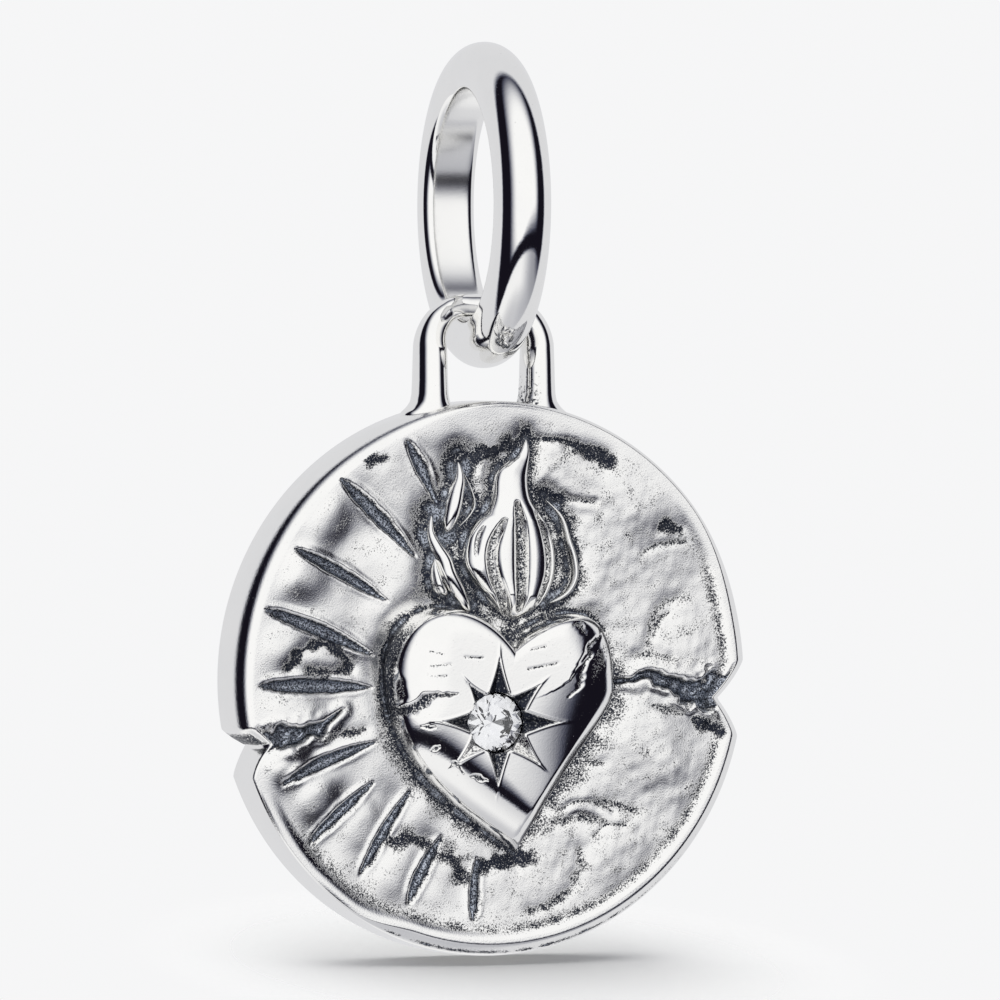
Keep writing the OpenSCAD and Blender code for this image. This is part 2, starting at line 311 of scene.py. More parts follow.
def ripple(x, y, shortest, longest):
    """Soft random relief, about 1 high, made of waves between two lengths."""
    total = np.zeros(x.shape)
    for _ in range(WAVES):
        heading, wave = rng.uniform(0, np.pi), rng.uniform(shortest, longest)
        ahead = x * np.cos(heading) + y * np.sin(heading)
        total += np.sin(2 * np.pi / wave * ahead + rng.uniform(0, 2 * np.pi))
    return total / math.sqrt(WAVES / 2)


def from_line(line, x, y):
    """Signed distance of each point from a line, positive on its left, and its share of the way along."""
    best = np.full(x.shape, 1e9)
    side = np.ones(x.shape)
    share = np.zeros(x.shape)
    lengths = np.hypot(*np.diff(line, axis=0).T)
    done = np.concatenate([[0], np.cumsum(lengths)])
    for a, b, start, length in zip(line, line[1:], done, lengths):
        d = (b - a) / length
        t = np.clip((x - a[0]) * d[0] + (y - a[1]) * d[1], 0, length)
        away = np.hypot(x - a[0] - t * d[0], y - a[1] - t * d[1])
        near = away < best
        best = np.where(near, away, best)
        share = np.where(near, (start + t) / done[-1], share)
        side = np.where(near, np.sign(d[0] * (y - a[1]) - d[1] * (x - a[0])), side)
    return best * np.where(side == 0, 1, side), share


# outline of the heart and flames that stand on the disc, for the dark hollow round them
heart_c = np.array([-0.3, -0.914])
heart_curves = [
    [(0.15, 0.72), (0.57, 1.08), (2.68, 2.45), (2.68, -0.2)],
    [(2.68, -0.2), (2.68, -0.88), (0.69, -2.68), (0.46, -3.74)],
    [(0.46, -3.74), (-0.95, -2.77), (-2.56, -1.89), (-2.56, 0.16)],
    [(-2.56, 0.16), (-2.56, 1.63), (-0.89, 2.13), (0.15, 0.72)],
]
t = np.linspace(0, 1, 90, endpoint=False)[:, None]
heart_edge = np.vstack([
    (1 - t) ** 3 * a + 3 * (1 - t) ** 2 * t * b + 3 * (1 - t) * t ** 2 * c + t ** 3 * d
    for a, b, c, d in np.array(heart_curves)
])
heart_edge = np.vstack([heart_edge, heart_edge[:1]])
edge_turn = np.arctan2(heart_edge[:-1, 1] - heart_c[1], heart_edge[:-1, 0] - heart_c[0])
edge_r = np.hypot(heart_edge[:-1, 0] - heart_c[0], heart_edge[:-1, 1] - heart_c[1])
order = np.argsort(edge_turn)
edge_turn, edge_r = edge_turn[order], edge_r[order]


def heart_r(turn):
    """How far the heart's edge is from its star, in each direction."""
    return np.interp(turn, edge_turn, edge_r, period=2 * np.pi)


flame_left = sweep([
    (0.41, 1.24), (0.1, 1.42), (-0.27, 1.77), (-0.64, 2.24), (-0.76, 2.55), (-0.7, 3.0), (-0.5, 3.36),
    (-0.22, 3.62), (-0.1, 3.9), (-0.06, 4.25), (0.04, 4.48), (0.28, 4.66), (0.5, 4.8), (0.73, 5.16),
], 160)
flame_right = sweep([
    (0.41, 1.24), (0.97, 1.55), (1.27, 1.95), (1.38, 2.4), (1.36, 2.8), (1.2, 3.25),
    (0.95, 3.62), (0.79, 3.9), (0.74, 4.3), (0.8, 4.85), (0.73, 5.16),
], 160)
# the loose tongues of flame: line, half width
licks = {
    "A": ([(-1.13, 3.12), (-1.06, 3.45), (-0.93, 3.95), (-0.83, 4.3), (-0.84, 4.66)], 0.21),
    "A_edge": ([(-0.86, 3.24), (-0.62, 3.5), (-0.5, 3.75), (-0.58, 4.1), (-0.74, 4.45)], 0.035),
    "B": (
        [(-0.58, 1.42), (-0.86, 1.85), (-1.1, 2.25), (-1.2, 2.55), (-1.38, 2.85), (-1.5, 3.15),
         (-1.46, 3.52)],
        0.2,
    ),
    "B_foot": ([(-1.12, 1.76), (-1.34, 2.0), (-1.42, 2.3), (-1.4, 2.62)], 0.14),
    "C": (
        [(1.24, 1.6), (1.62, 1.82), (1.8, 2.15), (1.78, 2.55), (1.66, 2.95), (1.52, 3.45), (1.18, 3.84)],
        0.1,
    ),
}
lick_lines = {name: (sweep(line, 60), width) for name, (line, width) in licks.items()}

# the sheet's rows run from the middle of the face, over the edge, to the middle of the back
face_r = np.concatenate([[0, 0.7, 1.2], np.linspace(1.4, FACE_R, 108)])
roll = np.radians(np.linspace(0, 90, 15)[1:])
back = np.radians(np.linspace(0, 90, 8)[1:])
back_r = np.linspace(R - BACK_ROUND, 0, 13)[1:]
row_r = np.concatenate([
    face_r, R - ROLL_IN * (1 - np.sin(roll)), np.full(SIDE_ROWS, R),
    R - BACK_ROUND + BACK_ROUND * np.cos(back), back_r,
])
row_z = np.concatenate([
    np.full(len(face_r), HALF), HALF - ROLL_DROP * (1 - np.cos(roll)), np.zeros(SIDE_ROWS),
    -HALF + BACK_ROUND - BACK_ROUND * np.sin(back), np.full(len(back_r), -HALF),
])
disc, turn, row = sheet("hammered_medallion", 640, len(row_r) - 1)
angle = np.degrees(turn)
plan_r = row_r[row]
r, z = plan_r.copy(), row_z[row]
# the edge rolls over broadly at the upper left and is a flat band with a crisp bevel everywhere else,
# slighter at the top and the lower left: how far in and how far down each row of the bevel is
crisp_in = np.array([
    0.28, 0.255, 0.232, 0.212, 0.175, 0.14, 0.105, 0.08, 0.06, 0.042, 0.026, 0.013, 0.004, 0,
])
crisp_drop = np.array([
    0, 0.003, 0.012, 0.028, 0.063, 0.098, 0.133, 0.158, 0.18, 0.204, 0.232, 0.262, 0.293, CRISP_DROP,
])
crisp = 1 - ease(85, 125, angle) * ease(199, 190, angle)
slight = 1 - 0.7 * ease(10, 40, angle) * ease(130, 100, angle)
slight = slight - 0.86 * ease(188, 197, angle) * ease(252, 236, angle)
flat_face = row < len(face_r)
step = np.clip(row - len(face_r), 0, len(roll) - 1)
on_roll = ~flat_face & (row < len(face_r) + len(roll))
r = np.where(on_roll, r * (1 - crisp) + (R - crisp_in[step] * slight) * crisp, r)
z = np.where(on_roll, z * (1 - crisp) + (HALF - crisp_drop[step] * slight) * crisp, z)
down = (row - len(face_r) - len(roll) + 1) / SIDE_ROWS
on_side = (down > 0) & (down < 1.1)
edge_top = HALF - ROLL_DROP * (1 - crisp) - CRISP_DROP * crisp * slight
z = np.where(on_side, edge_top + (BACK_ROUND - HALF - edge_top) * down, z)
outer_field = np.clip((r - EDGE_FROM) / (FACE_R - EDGE_FROM), 0, 1)
face_end = R - (ROLL_IN + 0.01) * (1 - crisp) - (crisp_in[0] + 0.015) * crisp * slight
r = np.where(flat_face & (r > EDGE_FROM), EDGE_FROM + outer_field * (face_end - EDGE_FROM), r)

# two torn notches run in from the edge: bearing, depth, spread above and below
torn_wall = np.zeros(turn.shape)
for bearing, deep, above, below in ((194.6, 0.46, 5.6, 4.6), (-5.2, 0.6, 8.5, 7.5)):
    off = np.degrees(np.angle(np.exp(1j * (turn - math.radians(bearing)))))
    bite = np.clip(1 - np.where(off > 0, off / above, -off / below), 0, 1)
    r -= deep * bite ** 1.15 * ease(R - 1.5, R - 0.1, r)
    torn_wall = np.maximum(torn_wall, 0.72 * ease(0.15, 0.35, bite) * (off < 0) * (bearing > 0))
x, y = r * np.cos(turn), r * np.sin(turn)
h = np.zeros(x.shape)
dark = np.zeros(x.shape)

# hammering: broad soft dents, slighter on the right half, and close fine ones, slighter on the left:
# how many, smallest, largest, lift, whether they belong to the right
dents = [(70, 0.5, 1.1, 0.03, False), (150, 0.22, 0.45, 0.01, False), (260, 0.1, 0.24, 0.0045, True)]
for count, low, high, lift, of_right in dents:
    for _ in range(count):
        at_r, at_turn = R * math.sqrt(rng.uniform(0.02, 1)), rng.uniform(-math.pi, math.pi)
        size, stretch, lean = rng.uniform(low, high), rng.uniform(0.6, 1.5), rng.uniform(0, math.pi)
        dx, dy = x - at_r * math.cos(at_turn), y - at_r * math.sin(at_turn)
        a = (dx * math.cos(lean) + dy * math.sin(lean)) / (size * stretch)
        b = (dy * math.cos(lean) - dx * math.sin(lean)) / (size / stretch)
        amount = rng.uniform(-1, 1) * lift
        on_right = at_r * math.cos(at_turn) > 0.2
        if of_right and not on_right:
            amount *= 0.35
        if on_right and size > 0.5:
            amount *= 0.2
        h += amount * np.exp(-a * a - b * b)

# patches where edges come out wider or narrower
patch = ripple(x, y, 0.2, 0.9)
# crumpled skin: faint short waves, strongest on the right half, and longer ones on the left half
h += 0.0015 * ripple(x, y, 0.2, 0.8) * (0.25 + 0.75 * ease(-0.8, 1.4, x))
h += 0.004 * ripple(x, y, 0.8, 1.8) * ease(1.5, -1.5, x)

# ten rays, each a boat-shaped cut with a raised lip: outer end, inner end, bow of the middle, half width
RAY_DEPTH = 0.15
RAY_LIPS = 0.022, 0.01
rays = [
    ((-2.07, 5.16), (-1.28, 3.7), 0.03, 0.138), ((-3.63, 4.35), (-1.79, 2.59), 0.04, 0.15),
    ((-4.68, 2.84), (-2.44, 1.66), 0.05, 0.138), ((-5.38, 1.56), (-2.74, 0.507), 0.05, 0.155),
    ((-5.5, -0.1), (-2.76, -0.16), 0.02, 0.181), ((-4.96, -2.2), (-2.67, -1.3), 0.06, 0.146),
    ((-4.31, -3.49), (-2.74, -2.14), 0.02, 0.129), ((-3.09, -4.17), (-1.88, -2.31), 0.03, 0.120),
    ((-2.0, -4.82), (-1.16, -3.32), 0.04, 0.138), ((-0.48, -5.2), (-0.37, -3.81), 0.0, 0.120),
]
for outer, inner, bow, half in rays:
    outer, inner = np.array(outer), np.array(inner)
    d = inner - outer
    middle = (outer + inner) / 2 + np.array([-d[1], d[0]]) / np.hypot(*d) * bow
    away, share = from_line(sweep([outer, middle, inner], 40), x, y)
    width = half * np.sin(np.pi * np.clip(share, 0.002, 0.998) ** 0.85) ** 0.75 + 1e-4
    width = width * (1 + 0.05 * patch)
    s = np.abs(away) / width
    h -= 0.02 * np.exp(-(away / 0.4) ** 2) * np.sin(np.pi * np.clip(share, 0, 1))
    h -= RAY_DEPTH * np.clip(1 - s ** 2.4, 0, 1) * np.clip(width / half * 1.3, 0, 1)
    lip = np.where(away > 0, *RAY_LIPS)
    h += lip * np.exp(-((np.abs(away) - width - 0.05) / 0.06) ** 2) * np.clip(width / half * 2 - 0.3, 0, 1)
    dark = np.maximum(dark, BLACKEST * ease(1.15, 0.72, s) * ease(0, 0.25, width / half))

# two cracks that run in from the notches: line, half widths at its points
CRACK_DEPTH = 0.36
CRACK_LIP = 0.03
cracks = [
    (
        [(-6.1, -1.36), (-5.3, -1.27), (-4.55, -1.12), (-3.95, -0.95), (-3.5, -0.62)],
        [0.3, 0.26, 0.19, 0.12, 0.02],
    ),
    (
        [(6.1, -0.3), (5.3, -0.3), (4.85, -0.36), (4.3, -0.2), (3.9, -0.05), (3.6, 0.06), (3.25, -0.06),
         (2.6, -0.12)],
        [0.5, 0.44, 0.34, 0.21, 0.14, 0.11, 0.08, 0.03],
    ),
]
for line, widths in cracks:
    done = np.concatenate([[0], np.cumsum(np.hypot(*np.diff(np.array(line), axis=0).T))])
    away, share = from_line(sweep(line, 90), x, y)
    width = np.interp(share, done / done[-1], widths) * (1 + 0.22 * patch)
    s = np.abs(away) / width
    h -= np.minimum(CRACK_DEPTH, 0.16 + width * 0.5) * np.clip(1 - s ** 3, 0, 1)
    h += CRACK_LIP * np.exp(-((np.abs(away) - width - 0.07) / 0.12) ** 2)
    dark = np.maximum(dark, BLACKEST * ease(1.15, 0.6, s))

# the hollow round the heart and the flames, where the wheel can't reach and the black stays
beyond = np.hypot(x - heart_c[0], y - heart_c[1]) - heart_r(np.arctan2(y - heart_c[1], x - heart_c[0]))
flame_outline = np.vstack([flame_left, flame_right[::-1]])
to_flame = np.abs(from_line(flame_outline, x, y)[0])
to_lick = np.min([np.abs(from_line(line, x, y)[0]) - width for line, width in lick_lines.values()], axis=0)
near_heart = np.clip(beyond, 0, None)
near_flame = np.clip(np.minimum(to_flame, to_lick), 0, None)
h -= 0.05 * np.exp(-(near_heart / 0.35) ** 2) + 0.05 * np.exp(-(near_flame / 0.3) ** 2)
# the black reaches furthest from the heart at the lower right and least at the upper left,
# and it is thickest in the corner
heart_reach = 0.34 - 0.16 * ease(-0.4, -1.6, x) * ease(-0.9, 0.1, y)
heart_reach = heart_reach + 0.12 * ease(-0.2, -1, x) * ease(-0.6, -1.4, y)
heart_reach = (heart_reach + 0.3 * ease(0.2, 1.6, x) * ease(1.2, -0.6, y)) * (1 + 0.2 * patch)
flame_reach = 0.3 + 0.08 * patch
corner_reach = 0.12
thickest = 0.2 + 0.06 * patch
for near, black, reach in ((near_heart, 0.68, heart_reach), (near_flame, 0.66, flame_reach)):
    film = black * np.exp(-(near / reach) ** 2) + thickest * np.exp(-(near / corner_reach) ** 2)
    dark = np.maximum(dark, film)

# hollows and folds of the face: line, half width, depth, how black
FOLD_BLACKEST = 0.82
folds = [
    ([(-0.75, 4.75), (-0.2, 4.85), (0.35, 5.05), (0.75, 5.22)], 0.24, 0.07, 0.85),
    ([(1.0, 5.12), (1.45, 5.12), (1.9, 5.03)], 0.07, 0.1, 0.9),
    ([(1.75, 5.02), (2.2, 4.9), (2.55, 4.78)], 0.17, 0.12, 0.9),
    ([(2.25, 4.8), (2.62, 4.66)], 0.24, 0.1, 0.8),
    ([(1.0, 4.0), (1.3, 3.97), (1.55, 3.85)], 0.14, 0.08, 0.8),
    ([(1.5, 3.88), (1.9, 3.82), (2.35, 3.78)], 0.07, 0.08, 0.68),
    ([(3.85, 3.2), (4.1, 3.27), (4.35, 3.2)], 0.15, 0.09, 0.9),
    ([(3.5, 2.72), (3.9, 2.86), (4.45, 2.9)], 0.08, 0.05, 0.66),
    ([(4.3, 1.7), (3.9, 1.52), (3.7, 1.2), (3.6, 0.7)], 0.13, 0.06, 0.5),
    ([(4.1, 1.38), (3.85, 1.2), (3.72, 0.85)], 0.07, 0.05, 0.66),
    ([(3.3, 0.45), (3.7, 0.5), (4.1, 0.42)], 0.12, 0.06, 0.56),
    ([(3.75, -0.6), (4.05, -0.72), (4.4, -0.82)], 0.11, 0.05, 0.62),
    ([(4.7, -0.95), (4.95, -1.05), (5.3, -1.2)], 0.16, 0.08, 0.8),
    ([(1.5, -1.95), (2.0, -1.82), (2.5, -1.85)], 0.12, 0.06, 0.62),
    ([(2.45, -2.72), (2.85, -2.72), (3.3, -2.9)], 0.16, 0.07, 0.6),
    ([(1.4, -3.1), (2.0, -3.0), (2.6, -3.12)], 0.12, 0.05, 0.58),
    ([(1.55, -2.84), (1.93, -2.65), (2.46, -2.71), (2.78, -2.91)], 0.05, 0.05, 0.66),
    ([(1.62, -3.17), (1.93, -2.93), (2.46, -3.04)], 0.05, 0.05, 0.66),
    ([(2.32, -3.4), (2.65, -3.17), (3.06, -3.19)], 0.05, 0.05, 0.66),
    ([(2.0, -3.7), (2.04, -4.05), (1.85, -4.35)], 0.17, 0.06, 0.58),
    ([(0.85, -4.98), (1.3, -4.85), (1.75, -4.6)], 0.14, 0.06, 0.66),
    ([(-0.2, -3.95), (0.25, -3.88), (0.8, -3.85)], 0.22, 0.07, 0.8),
    ([(-2.4, -3.45), (-1.95, -3.4), (-1.6, -3.5)], 0.22, 0.09, 0.78),
    ([(-1.05, -3.75), (-0.85, -3.95), (-0.75, -4.2)], 0.28, 0.08, 0.78),
    ([(-2.95, 4.72), (-2.68, 4.72)], 0.17, 0.07, 0.8),
    ([(-4.75, 0.3), (-4.5, 0.62), (-4.05, 0.78), (-3.55, 0.62), (-3.35, 0.3)], 0.15, 0.1, 0.85),
    ([(-4.3, 0.2), (-3.7, 0.18), (-3.3, 0.32)], 0.15, 0.07, 0.75),
    ([(-3.75, -1.2), (-3.35, -1.12), (-3.0, -1.05)], 0.13, 0.07, 0.7),
]
for line, width, deep, black in folds:
    away = from_line(sweep(line, 24), x, y)[0]
    h -= 0.22 * deep * np.exp(-(away / (width * 1.2)) ** 2)
    ragged = width * (0.95 + 0.3 * patch)
    crispness = 4 if black > 0.78 else 2
    film = np.exp(-np.abs(away / (1.05 * ragged)) ** crispness)
    dark = np.maximum(dark, min(FOLD_BLACKEST, black) * film)

# pillows pushed up between the rays and the folds: middle, reach, lift
for px, py, reach, lift in (
    (-3.95, 3.45, 0.55, 0.1), (-4.35, 2.35, 0.6, 0.1), (-4.9, 0.85, 0.5, 0.06), (-4.6, -0.7, 0.6, 0.07),
    (-4.75, -1.75, 0.45, 0.12), (-4.1, -2.55, 0.5, 0.1), (-3.0, -3.1, 0.6, 0.08), (-2.3, -4.1, 0.55, 0.07),
    (4.4, 0.4, 0.7, 0.05), (3.6, -1.3, 0.9, 0.09), (4.3, -2.2, 0.6, 0.06), (2.9, -3.9, 0.7, 0.07),
    (3.4, 3.9, 0.8, 0.03),
):
    h += 0.65 * lift * np.exp(-(((x - px) ** 2 + (y - py) ** 2) / reach ** 2) ** 1.5)

# the edge stands up as a smooth band along the bottom and right, and rolls over softly at the upper left
banded = np.clip(ease(200, 222, angle) + ease(48, 20, angle), 0, 1)
inside = ease(5.42, 5.3, plan_r)
h = h * ease(5.6, 5.05, plan_r)
stepped, sloped = ease(5.47, 5.32, plan_r), ease(5.6, 3.2, plan_r)
drop = (HALF - FIELD) * (banded * stepped + (1 - banded) * sloped) + 0.02 * banded * inside
z = np.where(row == 0, FIELD, z + flat_face * (h - drop))
# film is left in the seam inside the band, faintly all over the face, in a gutter along the bevel
# at the bottom, and on the lower wall of the left notch
from_seam = 5.34 - plan_r
seam = np.exp(-(from_seam / np.where(from_seam > 0, 0.17, 0.06)) ** 2) * banded
dark = np.maximum(dark, (0.55 + 0.06 * patch) * seam)
dark = np.maximum(dark, (0.13 + 0.05 * ease(-1, 2, x) + 0.09 * patch) * ease(5.47, 5.37, plan_r))
on_edge = ~flat_face & (plan_r > R - 0.15)
gutter_row = len(face_r) + 7
gutter = (1 + 0.35 * patch) * np.exp(-((row - gutter_row) / 1.5) ** 2)
gutter = gutter * ease(236, 252, angle) * ease(335, 290, angle)
dark = np.maximum(dark * flat_face, np.maximum(0.7 * gutter, torn_wall * on_edge))
burnished = ease(5.2, 5.45, plan_r)
form(disc, x, y, z, dark, burnished)
# hammered silver, blackened and wiped: grains of black film 0.03 mm across left in a bright skin
disc.data.materials.append(silver("hammered_oxidised_silver", 0.12, 0.1, 0.034, 9, 0.3))
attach(disc, "medallion")
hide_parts("medallion_disc")


# Heart. A domed heart of cast silver, soldered on the face, with an eight-pointed star cut into it with
# a graver round the stone's seat, and cracks at its two sides. It is polished like a mirror and black
# in its cuts.
HEART_RISE = 0.95
CREST = FIELD + HEART_RISE
GIRDLE = 1.34
SEAT_R = 0.655
HEART_R = 2.35
HEART_AROUND = 480
# the sheet's rows are circles round the star and turn into the heart's outline further out
heart_rows = np.concatenate([
    [0, 0.2, 0.45, 0.62, SEAT_R, 0.66, 0.67], np.linspace(0.685, 1.62, 56), np.linspace(1.62, 2.2, 16)[1:],
])
rest = np.sin(np.linspace(0, np.pi / 2, 34))[1:]
n_in, n_top = len(heart_rows), len(heart_rows) + len(rest)
heart, turn, k = sheet("domed_heart", HEART_AROUND, n_top + 2)
for px, py in (heart_curves[0][0], heart_curves[2][0]):
    exact = math.atan2(py - heart_c[1], px - heart_c[0]) % (2 * np.pi)
    turn = np.where(np.abs(turn - exact) <= np.pi / HEART_AROUND, exact, turn)
edge = heart_r(turn)
circle_share = heart_rows[np.minimum(k, n_in - 1)] / HEART_R
blend = ease(0.42, 0.94, circle_share)
inner_r = (1 - blend) * circle_share * HEART_R + blend * circle_share * edge
last = heart_rows[-1] / HEART_R
out_share = last + (1 - last) * rest[np.clip(k - n_in, 0, len(rest) - 1)]
r = np.where(k < n_in, inner_r, out_share * edge)
r = np.where(k >= n_top, edge, r)
r = np.where(k == n_top + 2, 0, r)
x, y = heart_c[0] + r * np.cos(turn), heart_c[1] + r * np.sin(turn)
s = np.clip(r / edge, 0, 1)
# it falls off towards its two flanks, further on the left, ends in a bevelled lip at the lower right,
# and turns down sharply at the edge itself; the outline has 90 points to a curve
left_flank, right_flank = heart_edge[180:322], heart_edge[32:181]
drops = []
for flank, fall, reach, cleft_end in ((left_flank, 0.5, 1.2, 1), (right_flank, 0.38, 1.9, 0)):
    away, share = from_line(flank, x, y)
    fall = fall * ease(0, 0.35, np.abs(share - cleft_end))
    fall = fall * (1 - 0.85 * (1 - cleft_end) * ease(0.4, 0.86, share))
    drops.append(fall * np.clip(1 - np.abs(away) / reach, 0, 1) ** 2.3)
lip = 0.62 * np.clip(0.36 - np.abs(away), 0, 1) * ease(0.4, 0.7, share)
top = CREST - (drops[0] ** 3 + drops[1] ** 3) ** (1 / 3) - lip
wall = np.sqrt(1 - s ** 28)
z = FIELD + (top - FIELD) * wall
# darker on the steep part of the heart's wall at its left flank only
dark = 0.76 * ease(0.9, 0.72, wall) * ease(-0.6, -1.6, x) * ease(1.5, 0.8, y) * ease(-1.5, -0.6, y)
on_top = k < n_top

# the star: eight arms, each a folded cut that sinks towards the stone: bearing, length, how black
cut = np.full(x.shape, 9.0)
arm_black = np.zeros(x.shape)
for bearing, long, black in (
    (0, 1.58, 0.8), (40, 1.36, 0.8), (89, 1.5, 0.8), (129, 1.16, 0.8),
    (178, 1.38, 0.74), (223, 1.32, 0.42), (270, 1.46, 0.74), (317, 1.4, 0.38),
):
    off = np.angle(np.exp(1j * (turn - math.radians(bearing))))
    ahead, aside = r * np.cos(off), r * np.abs(np.sin(off))
    to_tip = 1 - ahead / long
    fold = -0.42 * to_tip * np.abs(to_tip) ** 0.35 + 0.82 * aside
    fold = np.where(np.abs(off) < np.pi / 3, fold, 9)
    arm_black = np.where(fold < cut, black, arm_black)
    cut = np.minimum(cut, fold)
burr = 0.011 * np.exp(-(cut / 0.022) ** 2) * (r > 0.7)
z = z + np.where(r > SEAT_R, np.minimum(cut, 0), 0) + np.where(r > SEAT_R, burr, 0)
dark = np.maximum(dark, arm_black * ease(0.0, -0.035, cut) * (r > 0.62))

# ragged cracks and pits: line, half widths along it, depth, how black
heart_cracks = [
    (
        [(-2.75, -1.3), (-2.6, -0.95), (-2.35, -0.66), (-2.08, -0.56), (-1.86, -0.36), (-1.3, -0.28)],
        [0.16, 0.13, 0.1, 0.12, 0.07, 0.015], 0.06, 0.72,
    ),
    (
        [(2.25, 1.05), (2.05, 0.85), (1.8, 0.7), (1.86, 0.5), (1.68, 0.25), (1.66, -0.1), (1.3, -0.4)],
        [0.034, 0.034, 0.03, 0.034, 0.028, 0.022, 0.01], 0.035, 0.72,
    ),
    ([(2.35, 0.7), (2.2, 0.45), (2.05, 0.2), (1.95, 0.0)], [0.1, 0.2, 0.16, 0.03], 0.01, 0.36),
    ([(-1.95, -1.0), (-1.85, -0.97), (-1.7, -0.99)], [0.01, 0.035, 0.01], 0.02, 0.7),
    ([(-1.74, -1.48), (-1.64, -1.43), (-1.56, -1.41)], [0.015, 0.04, 0.015], 0.02, 0.62),
    ([(-1.3, -1.76), (-1.2, -1.8), (-1.1, -1.92)], [0.015, 0.045, 0.015], 0.02, 0.66),
    ([(-0.9, -2.04), (-0.72, -2.08), (-0.52, -2.18)], [0.015, 0.05, 0.015], 0.02, 0.66),
    ([(1.45, 1.22), (1.62, 1.14), (1.75, 1.0)], [0.02, 0.1, 0.03], 0.02, 0.55),
    ([(-2.5, 0.25), (-2.5, 0.0), (-2.4, -0.4)], [0.05, 0.13, 0.1], 0.07, 0.3),
]
RAGGED = 0.022
ragged_x = x + RAGGED * ripple(x, y, 0.15, 0.6)
ragged_y = y + RAGGED * ripple(x, y, 0.15, 0.6)
for line, widths, deep, black in heart_cracks:
    away, share = from_line(sweep(line, 40), ragged_x, ragged_y)
    w = np.interp(share, np.linspace(0, 1, len(widths)), widths)
    torn = np.exp(-(np.abs(away) / w) ** 4) * on_top
    z = z - deep * torn
    dark = np.maximum(dark, black * torn)
# short dashes scratched across the lobes: start, end
for x0, y0, x1, y1 in (
    (-1.89, 0.63, -1.59, 0.57), (-1.85, 0.31, -1.4, 0.35), (-1.82, 0.1, -1.5, 0.1),
    (-1.08, 0.5, -0.66, 0.48), (0.46, 0.65, 0.79, 0.7), (0.39, 0.23, 1.09, 0.35),
):
    away = from_line(np.array([(x0, y0), (x1, y1)]), x, y)[0]
    z = z - 0.003 * np.exp(-(away / 0.025) ** 2) * on_top
    dark = np.maximum(dark, 0.56 * np.exp(-(away / 0.03) ** 2) * on_top)

# the stone's seat, a little wider than the stone, and the foot of the heart, sunk into the disc
seat = np.interp(r, [0, 0.62, SEAT_R], [GIRDLE - 0.68, GIRDLE - 0.08, GIRDLE - 0.02])
z = np.where((r <= SEAT_R + 0.001) & on_top, seat, z)
dark = np.where((r <= 0.64) & on_top, 0.82, dark)
z = np.where(k == n_top, FIELD - 0.1, z)
z = np.where(k > n_top, FIELD - 0.3, z)
form(heart, x, y, z, dark)
# mirror-polished silver with black left only in its cuts
domed_silver = silver("mirror_silver_black_in_its_cuts", 0.04, 0.04, 0.04, 5)
heart.data.materials.append(domed_silver)
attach(heart, "medallion")
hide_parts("heart")


# Middle flame. Cast silver in four ribs that rise from the heart's cleft and close in one leaning tip,
# soldered to the face, polished on its ribs and black in the grooves between them.
FLAME_RISE = 0.46
FLAME_HALF_W = 0.75
flame, turn, k = sheet("ribbed_centre_flame", 120, len(flame_left) - 1)
across = -np.cos(turn)
left, right = flame_left[k], flame_right[k]
x = (left[:, 0] * (1 - across) + right[:, 0] * (1 + across)) / 2
y = (left[:, 1] * (1 - across) + right[:, 1] * (1 + across)) / 2
half_w = np.hypot(*(right - left).T) / 2
body = np.clip(1 - np.abs(across) ** 3, 0, 1) ** 0.4
height = FLAME_RISE * np.clip(half_w / FLAME_HALF_W, 0.0, 1) ** 0.6
z = FIELD + height * body
dark = np.zeros(x.shape)
front = np.sin(turn) >= -1e-9
# grooves between the ribs: line, half width, depth, how black
grooves = [
    ([(0.07, 3.4), (-0.14, 2.95), (-0.19, 2.6), (-0.12, 2.2), (0.04, 1.8), (0.2, 1.4)], 0.135, 0.2, 0.54),
    ([(0.4, 3.75), (0.46, 3.3), (0.5, 2.8), (0.5, 2.3), (0.46, 1.5)], 0.15, 0.24, 0.62),
    ([(0.84, 3.55), (1.04, 3.1), (1.14, 2.65), (1.12, 2.2), (0.86, 1.6)], 0.08, 0.2, 0.54),
    ([(-0.37, 3.28), (-0.5, 3.02), (-0.56, 2.65)], 0.05, 0.07, 0.54),
]
for line, width, deep, black in grooves:
    away, share = from_line(sweep(line, 50), x, y)
    w = width * (0.15 + 0.85 * np.sin(np.pi * np.clip(share * 0.94 + 0.02, 0, 1)) ** 0.6)
    z = z - deep * np.exp(-np.abs(away / w) ** 2.6) * np.clip(body * 1.4, 0, 1)
    dark = np.maximum(dark, black * np.exp(-(away / (w * 0.9)) ** 4))
z = np.where(front, z, FIELD - 0.25)
form(flame, x, y, z, dark * front)
flame.data.materials.append(domed_silver)
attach(flame, "medallion")
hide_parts("centre_flame")


# Side flames. Loose tongues of silver beside the middle flame, soldered to the face,
# each thick at its root and drawn out to a point, polished along its back.
LICK_RISE = 0.3
THIN_LICK_RISE = 0.14
for name, (line, width) in lick_lines.items():
    share = np.linspace(0, 1, len(line))
    swell = np.sin(np.pi * share ** 0.75) ** 0.7
    swell[[0, -1]] = 0
    tall = LICK_RISE if width > 0.05 else THIN_LICK_RISE
    lick, x, y, z = wire("flame_tongue_" + name, line, width * swell, tall * swell, np.ones(len(line)), 28)
    z = FIELD + np.maximum(z, -0.2)
    form(lick, x, y, z)
    lick.data.materials.append(domed_silver)
    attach(lick, "medallion")
    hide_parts("side_flames")


# Stone. A round brilliant-cut clear stone with flat polished facets, held in the middle of the star
# by the silver pushed over its girdle.
CLOUD_MM = 0.3
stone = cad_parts["stone"]
